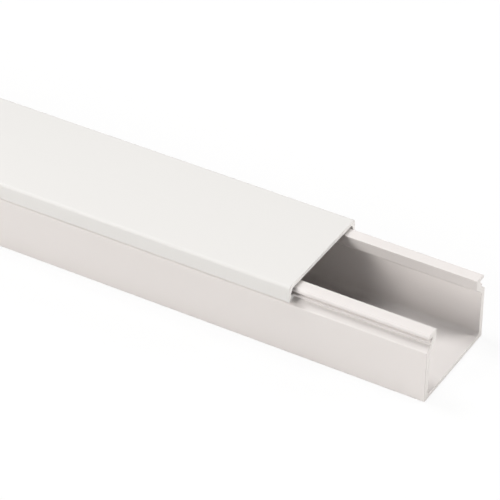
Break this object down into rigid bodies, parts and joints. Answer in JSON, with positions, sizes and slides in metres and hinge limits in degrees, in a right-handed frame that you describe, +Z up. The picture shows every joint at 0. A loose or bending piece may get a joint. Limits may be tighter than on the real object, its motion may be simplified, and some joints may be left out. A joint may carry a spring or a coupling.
{
  "type": "cord cover raceway",
  "caption": "White PVC cord cover raceway: a base channel with two snap rails and a clip-on cover slid part way back along it.",
  "frame": {"origin": "middle of the base channel's flat underside, halfway along the base and halfway across it", "axes": "+X along the strips towards the end where the base stands open, +Y across the base, +Z up from the underside through the cover"},
  "size_m": [0.428, 0.025, 0.0159],
  "materials": {
    "white_pvc": "smooth extruded satin white"
  },
  "bodies": {
    "base": {"base_channel": "white_pvc"},
    "cover": {"snap_cover": "white_pvc"}
  },
  "joints": [
    {"name": "cover_slide", "type": "slide", "parent": "base", "child": "cover", "axis": [1, 0, 0], "range_m": [-0.332, 0.388]}
  ]
}
